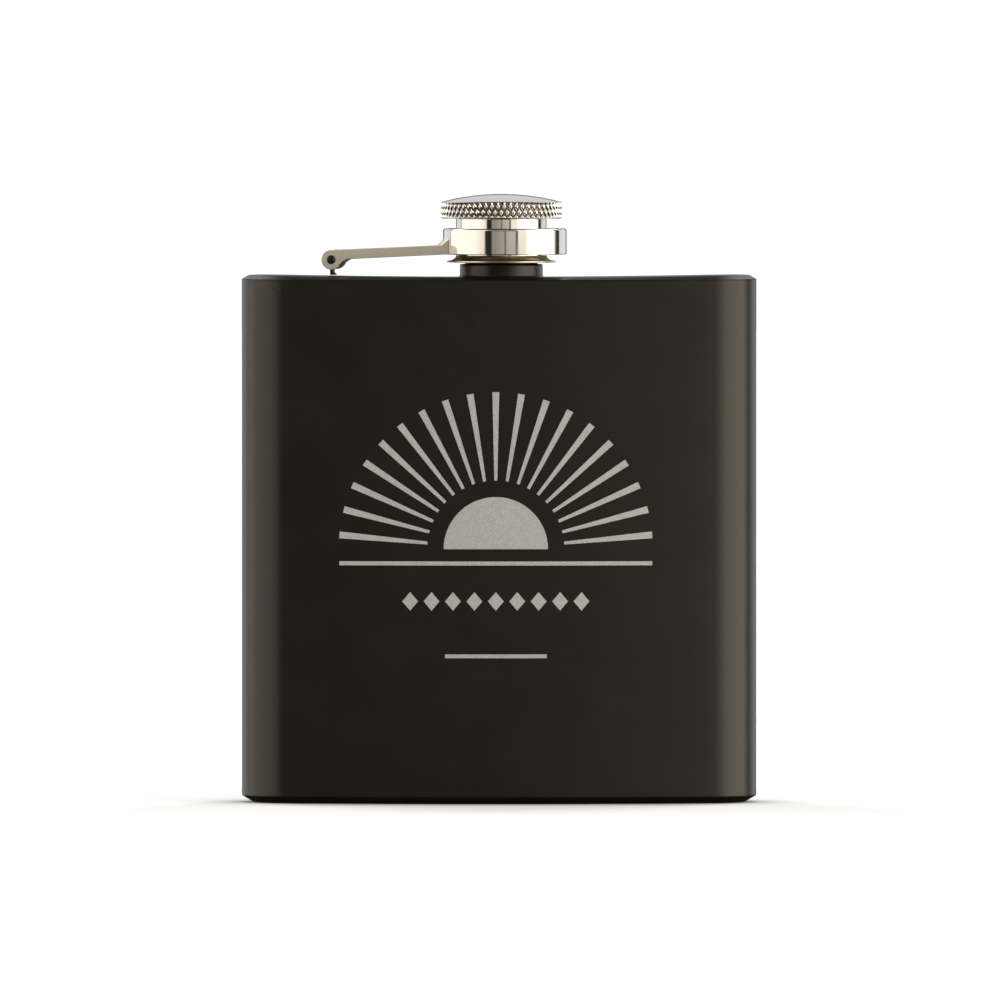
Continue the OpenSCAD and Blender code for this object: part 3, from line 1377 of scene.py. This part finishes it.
@dataclass
class Ornament:
    """A plain geometric ornament in engraved steel: a half disc, its rays, rules and lozenges."""

    plan: Plan
    bench: Bench
    sizes: dict[str, float | int] = field(
        default_factory=lambda: {
            "Centre x": -0.6 * MM, "Centre z": 46.5 * MM,
            "Rays": 19, "Ray start": 12.5 * MM, "Ray end": 28.6 * MM,
            "Ray root": 0.55 * MM, "Ray tip": 1.25 * MM, "Ray margin": 0.09,
            "Disc": 9.5 * MM,
            "Rule length": 57 * MM, "Rule height": 0.75 * MM, "Rule drop": 2.6 * MM,
            "Lozenges": 9, "Lozenge pitch": 3.9 * MM, "Lozenge width": 2.9 * MM,
            "Lozenge height": 3.4 * MM, "Lozenge drop": 9.5 * MM,
            "Foot length": 18.5 * MM, "Foot height": 0.7 * MM, "Foot drop": 19.5 * MM,
            "Proud": 0.015 * MM, "Sunk": 0.05 * MM,
        }
    )

    def patch(self, tree: Recipe, long: int, wide: int) -> tuple[Wire, Wire, Wire]:
        """Add a grid from 0 to 1 along X and -0.5 to 0.5 along Y.

        Args:
            tree: The recipe that it goes into.
            long: Points along X.
            wide: Points along Y.

        Returns:
            The grid's mesh, and its points' two readings.
        """
        sizes = {"Size X": 1.0, "Size Y": 1.0, "Vertices X": long, "Vertices Y": wide}
        mesh = tree.node("GeometryNodeMeshGrid", sizes)["Mesh"]
        x, y, _ = tree.position()
        return mesh, x + 0.5, y

    def rays(self, tree: Recipe) -> Wire:
        """Return the fan of rays about the ornament's centre."""
        mesh, u, v = self.patch(tree, 25, 3)
        start, root = tree["Ray start"], tree["Ray root"]
        reach = start + u * (tree["Ray end"] - start)
        width = root + u * (tree["Ray tip"] - root)
        ray = tree.move(mesh, reach, 0.0, v * width)
        count = tree["Rays"]
        sizes = {"Count": count, "Start Location": (0.0, 0.0, 0.0), "Offset": (0.0, 0.0, 0.0)}
        points = tree.node("GeometryNodeMeshLine", sizes)["Mesh"]
        index = tree.node("GeometryNodeInputIndex")["Index"]
        margin = tree["Ray margin"]
        angle = margin + index / (count - 1.0) * (math.pi - margin * 2.0)
        inputs = {"Points": points, "Instance": ray, "Rotation": tree.join(0.0, -angle, 0.0)}
        fan = tree.node("GeometryNodeInstanceOnPoints", inputs)["Instances"]
        return tree.node("GeometryNodeRealizeInstances", [fan])["Geometry"]

    def disc(self, tree: Recipe) -> Wire:
        """Return the half disc at the fan's centre."""
        mesh, u, v = self.patch(tree, 13, 49)
        reach = (0.002 + u * 0.998) * tree["Disc"]
        angle = (v + 0.5) * math.pi
        across, up = angle.maths("COSINE", angle), angle.maths("SINE", angle)
        return tree.move(mesh, reach * across, 0.0, reach * up)

    def rule(self, tree: Recipe, word: str) -> Wire:
        """Return a straight rule whose inputs start with a word."""
        mesh, u, v = self.patch(tree, 65, 3)
        drop = tree[f"{word} drop"]
        along = (u - 0.5) * tree[f"{word} length"]
        return tree.move(mesh, along, 0.0, v * tree[f"{word} height"] - drop)

    def lozenges(self, tree: Recipe) -> Wire:
        """Return the row of lozenges."""
        mesh, u, v = self.patch(tree, 7, 7)
        one = tree.move(
            mesh,
            (u - 0.5 + v) * tree["Lozenge width"] * 0.5,
            0.0,
            (v - u + 0.5) * tree["Lozenge height"] * 0.5,
        )
        count, pitch = tree["Lozenges"], tree["Lozenge pitch"]
        first = tree.join((count - 1.0) * pitch * -0.5, 0.0, -tree["Lozenge drop"])
        sizes = {"Count": count, "Start Location": first, "Offset": tree.join(pitch, 0.0, 0.0)}
        points = tree.node("GeometryNodeMeshLine", sizes)["Mesh"]
        row = tree.node("GeometryNodeInstanceOnPoints", {"Points": points, "Instance": one})
        return tree.node("GeometryNodeRealizeInstances", [row["Instances"]])["Geometry"]

    def laid_on(self, tree: Recipe, flat: Wire, proud: Any) -> Wire:
        """Bend flat shapes round the front of the body.

        Args:
            tree: The recipe.
            flat: Shapes in the XZ plane.
            proud: How far they stand out of the surface.

        Returns:
            The shapes on the surface.
        """
        x, _, z = tree.position()
        far_x, up_z = x + tree["Centre x"], z + tree["Centre z"]
        reach = self.plan.bend + self.plan.half + proud
        depth = (reach**2.0 - far_x * far_x) ** 0.5
        return tree.move(flat, far_x, self.plan.bend_centre.y - depth, up_z)

    def build(self, steel: bpy.types.Material) -> None:
        """Build and hand over the ornament.

        Args:
            steel: The engraved steel.
        """
        tree = Recipe("engraving", self.sizes)
        rules = [self.rule(tree, "Rule"), self.rule(tree, "Foot")]
        shapes = [self.rays(tree), self.disc(tree), *rules, self.lozenges(tree)]
        flat = tree.node("GeometryNodeJoinGeometry", [shapes])["Geometry"]
        back = self.laid_on(tree, flat, -tree["Sunk"])
        depth = tree["Sunk"] + tree["Proud"]
        lift = {"Mesh": back, "Offset": tree.join(0.0, -depth, 0.0), "Individual": False}
        front = tree.node("GeometryNodeExtrudeMesh", lift, mode="FACES")["Mesh"]
        turned_back = tree.node("GeometryNodeFlipFaces", [back])["Mesh"]
        solid = tree.node("GeometryNodeJoinGeometry", [[front, turned_back]])["Geometry"]
        merge = {"Geometry": solid, "Distance": MERGE}
        closed = tree.node("GeometryNodeMergeByDistance", merge)["Geometry"]
        piece = tree.close(closed, steel).cook(empty_piece("engraving"))
        shade(piece, 30)
        self.bench.hand_over(piece, Body.FLASK, Slot.PAINT, [steel])


# ---- The studio ----


@dataclass(frozen=True)
class Panel:
    """A soft-edged lamp at infinity, between two bearings and two rises in degrees."""

    bearings: Point2
    edge: float
    rises: Point2 = (-28, 48)
    rise_edge: float = 5
    strength: float = 1.0

    def glow(self, bearing: Wire, rise: Wire) -> Wire:
        """Return the panel's strength in a direction, which is 0 off the panel."""
        inside = bearing.band(*self.bearings, self.edge)
        return inside * rise.band(*self.rises, self.rise_edge) * self.strength


@dataclass
class Studio:
    """A pale floor, soft light from all round and a long lens."""

    distance: float = 3.5
    rise: float = 0.1367
    aim: Vector = field(default_factory=lambda: Vector((0.00016, 0.0, 0.0552)))
    field_width: float = 0.18256
    floor_size: float = 12.0
    left: Panel = Panel((-121, -38), 1.5)
    right: Panel = Panel((24.4, 105), 1.2, strength=1.15)
    key: Panel = Panel((46, 106), 8, strength=1.9)
    front: Panel = Panel((-24.6, 20.6), 0.8, (-8, 9), 3)
    back: Panel = Panel((124, 156), 4, (34, 66), strength=4.4)
    room: float = 0.025
    warm: Colour = (1.0, 0.955, 0.875, 1.0)
    cool: Colour = (0.93, 0.96, 1.0, 1.0)
    white: Colour = (1.0, 1.0, 1.0, 1.0)

    def set_camera(self) -> None:
        """Stand the camera in front, a little above the cap, looking at the middle of the view."""
        data = bpy.data.cameras.new("camera")
        data.sensor_width = 36.0
        place = Vector((self.aim.x, -self.distance, self.rise))
        view = self.aim - place
        data.lens = data.sensor_width * view.length / self.field_width
        data.clip_end = 50.0
        camera = bpy.data.objects.new("camera", data)
        camera.location = place
        camera.rotation_euler = view.to_track_quat("-Z", "Y").to_euler()
        bpy.context.scene.collection.objects.link(camera)
        bpy.context.scene.camera = camera

    def lay_floor(self) -> None:
        """Lay the floor, with a painted contact shadow: ambient occlusion darkens its colour and
        its glow near the flask.
        """
        bm = bmesh.new()
        bmesh.ops.create_grid(bm, x_segments=1, y_segments=1, size=self.floor_size / 2)
        floor = object_from("floor", bm)
        paper = Shading("white_paper")
        # Painted shadow: the floor's colour and glow darken where ambient occlusion finds the flask
        # close by.
        near = {"Distance": 17 * MM, "Color": (1.0, 1.0, 1.0, 1.0)}
        painted_shadow_mask = paper.node("ShaderNodeAmbientOcclusion", near, samples=12)["AO"]
        tone = paper.mix(painted_shadow_mask.ramp(0.35, 1.0), (0.4, 0.4, 0.4, 1.0), (0.93, 0.93, 0.93, 1.0))
        cloth = paper.node("ShaderNodeBsdfDiffuse", {"Color": tone})
        glow = paper.node("ShaderNodeEmission", {"Color": tone, "Strength": 0.2})
        both = paper.node("ShaderNodeAddShader", [cloth["BSDF"], glow["Emission"]])
        paper.node("ShaderNodeOutputMaterial", {"Surface": both["Shader"]})
        floor.data.materials.append(paper.material)
        floor.visible_glossy = False

    def light(self) -> None:
        """Surround the flask with warm panels, a dark gap in front and cool light behind.

        Bearings are in degrees from the front, positive towards +X, and rises are above the floor.
        """
        world = bpy.data.worlds.new("studio")
        world.use_nodes = True
        bpy.context.scene.world = world
        tree = Weave(world.node_tree)
        x, y, z = tree.split(tree.node("ShaderNodeTexCoord")["Generated"])
        degrees = 360 / TURN
        bearing = x.bearing(-y) * degrees
        rise = z.maths("ARCSINE", z) * degrees
        away = abs(bearing)

        # The left panel brightens away from the front, and the key makes the right one brighter.
        left = self.left.glow(bearing, rise) * (1.1 + bearing.ramp(-40, -64) * 0.45)
        sides = left + self.right.glow(bearing, rise) + self.key.glow(bearing, rise)
        # A dim lamp hangs above the front, and the gap between the panels holds a thin stand.
        crown = rise.band(34, 50, 7) * away.ramp(80, 60) * 0.8
        fading = 0.3 + 0.3 * bearing.ramp(-24, 18)
        stand = 1.0 - bearing.band(-0.8, 2.2, 0.6) * 0.8
        front = self.front.glow(bearing, rise) * fading * stand
        warm = sides + crown + self.room + front
        # Behind, the haze over the table has a dark gap, and a lamp stands on each side of it.
        haze = away.ramp(122, 124) * rise.band(-12, 40, 5) * (1.0 - rise.ramp(3, 12) * 0.22)
        gap = away.ramp(155, 163) * rise.band(-15, 10, 3)
        cool = haze * (1.0 - gap * 0.97) * 0.95 + self.back.glow(away, rise)

        seen = tree.node("ShaderNodeLightPath")["Is Camera Ray"]
        lamps, sky, plain = (
            tree.node("ShaderNodeBackground", {"Color": colour, "Strength": strength})["Background"]
            for colour, strength in ((self.warm, warm), (self.cool, cool), (self.white, 1.05))
        )
        lit = tree.node("ShaderNodeAddShader", [lamps, sky])["Shader"]
        both = tree.node("ShaderNodeMixShader", [seen, lit, plain])
        tree.node("ShaderNodeOutputWorld", {"Surface": both["Shader"]})
        bpy.context.scene.view_settings.view_transform = "Standard"

    def build(self) -> None:
        """Set the camera, the floor and the light."""
        self.set_camera()
        self.lay_floor()
        self.light()


def main() -> None:
    """Build the studio and the flask's pieces in order, and report each piece."""
    logging.basicConfig(level=logging.INFO, format="%(name)s %(message)s")
    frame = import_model()
    Studio().build()

    bench = Bench()
    plan = Plan.from_frame()
    ring_centre = Span.of("retainer_ring").middle.xy
    cap_centre = Span.of("cap_shell").middle.xy
    coat = PowderCoat().build()
    brushed = BrushedSteel("brushed_lever", -lever_yaw(frame["joints"])).build()
    # The flange's golden tint and shade are a painted reflection of the ring above it.
    flared = TurnedSteel("flared_steel", cap_centre, *FLANGE_PAINTED_REFLECTION, roughness=0.3).build()

    shell = Shell(plan, bench)
    shell.build(coat, RawSteel().build())
    Neck(shell, bench).build(coat)
    for part, finish in (
        (Softened("hinge_post", "post", Body.FLASK, Slot.HINGE, 0.1 * MM), coat),
        (Softened("hinge_pin", "pin", Body.FLASK, Slot.HINGE, 0.05 * MM), coat),
        (Softened("lever_arm", "arm", Body.LEVER, Slot.LEVER, 0.12 * MM), brushed),
    ):
        part.build(frame["nodes"][part.node], bench, finish)
    Ring(bench).build(TurnedSteel("polished_ring", ring_centre).build())
    Cap(bench).build(
        TurnedSteel("polished_steel", cap_centre).build(), flared, Silicone().build()
    )
    Ornament(plan, bench).build(EngravedSteel().build())
    LOG.info("%d pieces", bench.count)


if __name__ == "__main__":
    main()
